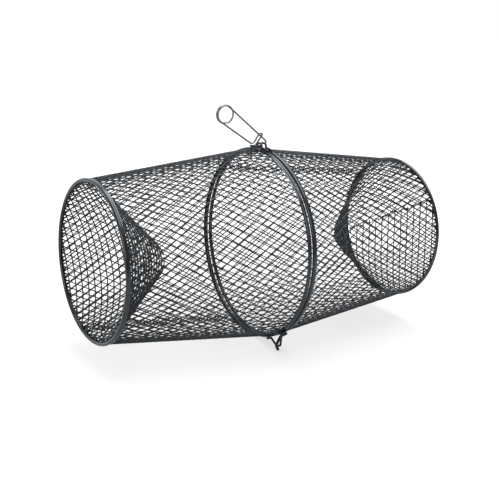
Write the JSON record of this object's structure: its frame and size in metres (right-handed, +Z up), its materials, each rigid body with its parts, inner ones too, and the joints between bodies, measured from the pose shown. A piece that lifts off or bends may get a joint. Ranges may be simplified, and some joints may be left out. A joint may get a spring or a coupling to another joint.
{
  "type": "two-piece wire mesh crab trap",
  "caption": "Two wire mesh basket halves with inward entry funnels, hooked together at the bottom and held at the top by a wire spring clip.",
  "frame": {"origin": "on the surface that the trap stands on, under the middle of the trap's box", "axes": "+X along the trap's axis from the left half to the right half, +Z up through the top eyes, +Y away from the bottom hook's side"},
  "size_m": [0.4374, 0.233, 0.2857],
  "materials": {
    "mesh_coating": "black dipped coating on steel wire, satin, pooled at the crossings",
    "rim_coating": "black dipped coating on rolled sheet, satin with a soft blue-grey highlight",
    "eye_coating": "black dipped coating on round wire, satin",
    "hoop_steel": "plain drawn wire, hidden in the bead",
    "clip_wire": "bare drawn spring wire, dull grey"
  },
  "bodies": {
    "left_half": {"left_body_mesh": "mesh_coating", "left_body_lacing": "mesh_coating", "left_funnel_mesh": "mesh_coating", "left_funnel_lacing": "mesh_coating", "left_end_rim": "rim_coating", "left_end_hoop": "hoop_steel", "left_mid_rim": "rim_coating", "left_mid_hoop": "hoop_steel", "left_top_eye": "eye_coating", "left_bottom_eye": "eye_coating"},
    "right_half": {"right_body_mesh": "mesh_coating", "right_body_lacing": "mesh_coating", "right_funnel_mesh": "mesh_coating", "right_funnel_lacing": "mesh_coating", "right_end_rim": "rim_coating", "right_end_hoop": "hoop_steel", "right_mid_rim": "rim_coating", "right_mid_hoop": "hoop_steel", "right_top_eye": "eye_coating", "right_bottom_hook": "eye_coating"},
    "clip": {"clip_frame": "clip_wire"},
    "clip_pin_leg": {"clip_pin": "clip_wire"}
  },
  "joints": [
    {"name": "halves_hinge", "type": "hinge", "parent": "left_half", "child": "right_half", "pos_m": [-0.00305, -0.06563, 0.00509], "axis": [0, 0.8616, -0.5075], "range_deg": [0, 110]},
    {"name": "clip_swing", "type": "hinge", "parent": "left_half", "child": "clip", "pos_m": [-0.00305, 0, 0.2356], "axis": [1, 0, 0], "range_deg": [-70, 70]},
    {"name": "clip_pin_lift", "type": "hinge", "parent": "clip", "child": "clip_pin_leg", "pos_m": [-0.053, 0, 0.2745], "axis": [0, -1, 0], "range_deg": [0, 25], "stiffness_Nm_per_rad": 0.2}
  ]
}
